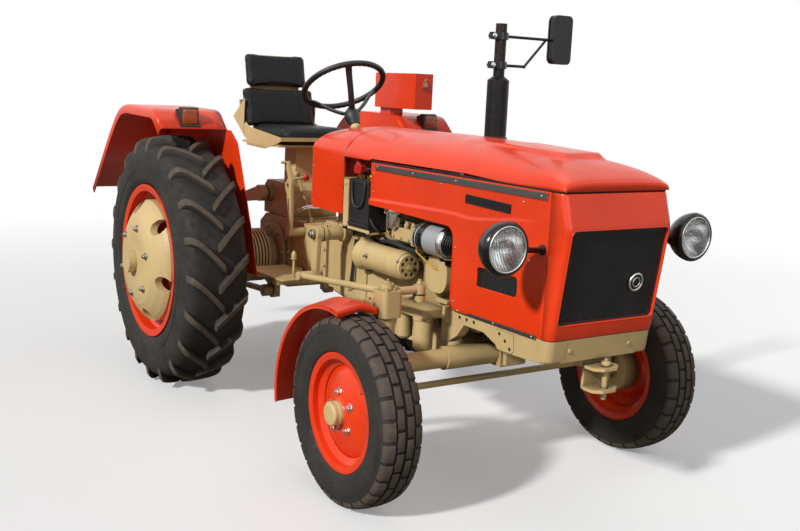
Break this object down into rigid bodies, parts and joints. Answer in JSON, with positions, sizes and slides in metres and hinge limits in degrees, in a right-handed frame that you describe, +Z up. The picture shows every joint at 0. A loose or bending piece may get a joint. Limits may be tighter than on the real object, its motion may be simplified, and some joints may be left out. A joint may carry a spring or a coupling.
{
  "type": "vintage tractor",
  "caption": "Vintage farm tractor with open engine sides, chevron-lugged rear tyres, steered front axle, sprung seat, toolbox on the fender and rear three-point linkage",
  "frame": {"origin": "middle of the tractor's box, on the ground that its wheels stand on", "axes": "+X forward, +Y to the tractor's left, +Z up"},
  "size_m": [3.305, 1.93, 1.858],
  "materials": {
    "paint_red": "glossy",
    "paint_sand": "semi-gloss",
    "black_metal": "satin",
    "steel": "satin",
    "tyre_rubber": "matte",
    "black_vinyl": "semi-gloss",
    "black_plastic": "semi-gloss",
    "amber_lens": "glossy"
  },
  "bodies": {
    "chassis": {"transmission": "paint_sand", "lift_housing": "paint_sand", "engine": "paint_sand", "starter_motor": "paint_sand", "dynamo": "steel", "oil_filters": "paint_sand", "fuel_filter": "steel", "exhaust_stack": "black_metal", "mirror": "black_metal", "radiator": "black_metal", "front_support": "paint_sand", "tow_clevis": "paint_sand", "front_axle": "paint_sand", "nose_shell": "paint_red", "grille": "black_metal", "bonnet": "paint_red", "side_panels": "paint_red", "headlights": "black_metal", "cowl": "paint_red", "battery_box": "black_plastic", "step_plates": "paint_sand", "rear_fenders": "paint_red", "marker_lamps": "amber_lens", "toolbox": "paint_red", "steering_column": "paint_sand", "seat_frame": "paint_sand", "seat_cushion": "black_vinyl", "seat_backs": "black_vinyl", "controls": "paint_sand", "rear_hitch": "paint_sand"},
    "rear_wheel_right": {"rear_tyre_right": "tyre_rubber", "rear_rim_right": "paint_red", "rear_disc_right": "paint_sand"},
    "rear_wheel_left": {"rear_tyre_left": "tyre_rubber", "rear_rim_left": "paint_red", "rear_disc_left": "paint_sand"},
    "knuckle_right": {"knuckle_right": "paint_sand", "front_fender_right": "paint_red"},
    "knuckle_left": {"knuckle_left": "paint_sand", "front_fender_left": "paint_red"},
    "front_wheel_right": {"front_tyre_right": "tyre_rubber", "front_rim_right": "paint_red", "front_hub_right": "paint_sand"},
    "front_wheel_left": {"front_tyre_left": "tyre_rubber", "front_rim_left": "paint_red", "front_hub_left": "paint_sand"},
    "steering_wheel": {"steering_wheel": "black_plastic"},
    "drop_arm": {"drop_arm": "paint_sand"},
    "drag_link": {"drag_link": "paint_sand"},
    "tie_rod": {"tie_rod": "paint_sand"},
    "toolbox_lid": {"toolbox_lid": "paint_red"},
    "lift_arms": {"lift_arms": "paint_sand"},
    "lift_rods": {"lift_rods": "steel"},
    "lower_link_right": {"lower_link_right": "paint_sand"},
    "lower_link_left": {"lower_link_left": "paint_sand"}
  },
  "joints": [
    {"name": "rear_right_spin", "type": "hinge", "parent": "chassis", "child": "rear_wheel_right", "pos_m": [-0.7275, -0.712, 0.625], "axis": [0, 1, 0], "continuous": true},
    {"name": "rear_left_spin", "type": "hinge", "parent": "chassis", "child": "rear_wheel_left", "pos_m": [-0.7275, 0.712, 0.625], "axis": [0, 1, 0], "continuous": true},
    {"name": "steer_right", "type": "hinge", "parent": "chassis", "child": "knuckle_right", "pos_m": [1.0525, -0.57, 0.356], "axis": [0, 0, 1], "range_deg": [-35, 35]},
    {"name": "steer_left", "type": "hinge", "parent": "chassis", "child": "knuckle_left", "pos_m": [1.0525, 0.57, 0.356], "axis": [0, 0, 1], "range_deg": [-35, 35]},
    {"name": "front_right_spin", "type": "hinge", "parent": "knuckle_right", "child": "front_wheel_right", "pos_m": [1.0525, -0.693, 0.356], "axis": [0, 1, 0], "continuous": true},
    {"name": "front_left_spin", "type": "hinge", "parent": "knuckle_left", "child": "front_wheel_left", "pos_m": [1.0525, 0.693, 0.356], "axis": [0, 1, 0], "continuous": true},
    {"name": "steering_wheel_turn", "type": "hinge", "parent": "chassis", "child": "steering_wheel", "pos_m": [-0.3075, 0, 1.53], "axis": [-0.5446, 0, 0.8387], "range_deg": [-640, 640]},
    {"name": "drop_arm_swing", "type": "hinge", "parent": "chassis", "child": "drop_arm", "pos_m": [0.1125, -0.358, 0.862], "axis": [0, 1, 0], "range_deg": [-27, 27]},
    {"name": "drag_link_turn", "type": "hinge", "parent": "knuckle_right", "child": "drag_link", "pos_m": [1.0525, -0.425, 0.773], "axis": [0, 0, 1], "range_deg": [-35, 35]},
    {"name": "tie_rod_turn", "type": "hinge", "parent": "knuckle_right", "child": "tie_rod", "pos_m": [0.9125, -0.57, 0.392], "axis": [0, 0, 1], "range_deg": [-35, 35]},
    {"name": "toolbox_lid_hinge", "type": "hinge", "parent": "chassis", "child": "toolbox_lid", "pos_m": [-0.8265, 0.556, 1.584], "axis": [0, -1, 0], "range_deg": [0, 100]},
    {"name": "lift_arm_turn", "type": "hinge", "parent": "chassis", "child": "lift_arms", "pos_m": [-0.8375, 0, 0.94], "axis": [0, 1, 0], "range_deg": [-25, 40]},
    {"name": "lift_rod_swing", "type": "hinge", "parent": "lift_arms", "child": "lift_rods", "pos_m": [-1.08693, 0, 0.88698], "axis": [0, 1, 0], "range_deg": [-40, 25]},
    {"name": "lower_link_right_lift", "type": "hinge", "parent": "chassis", "child": "lower_link_right", "pos_m": [-0.7075, -0.205, 0.43], "axis": [0, 1, 0], "range_deg": [-15, 24]},
    {"name": "lower_link_left_lift", "type": "hinge", "parent": "chassis", "child": "lower_link_left", "pos_m": [-0.7075, 0.205, 0.43], "axis": [0, 1, 0], "range_deg": [-15, 24]}
  ],
  "couplings": [
    {"joint": "steer_left", "follows": "steer_right", "ratio": 1},
    {"joint": "steering_wheel_turn", "follows": "steer_right", "ratio": 18},
    {"joint": "drop_arm_swing", "follows": "steer_right", "ratio": 0.74},
    {"joint": "drag_link_turn", "follows": "steer_right", "ratio": -1},
    {"joint": "tie_rod_turn", "follows": "steer_right", "ratio": -1},
    {"joint": "lift_rod_swing", "follows": "lift_arm_turn", "ratio": -1},
    {"joint": "lower_link_right_lift", "follows": "lift_arm_turn", "ratio": 0.6},
    {"joint": "lower_link_left_lift", "follows": "lift_arm_turn", "ratio": 0.6}
  ]
}
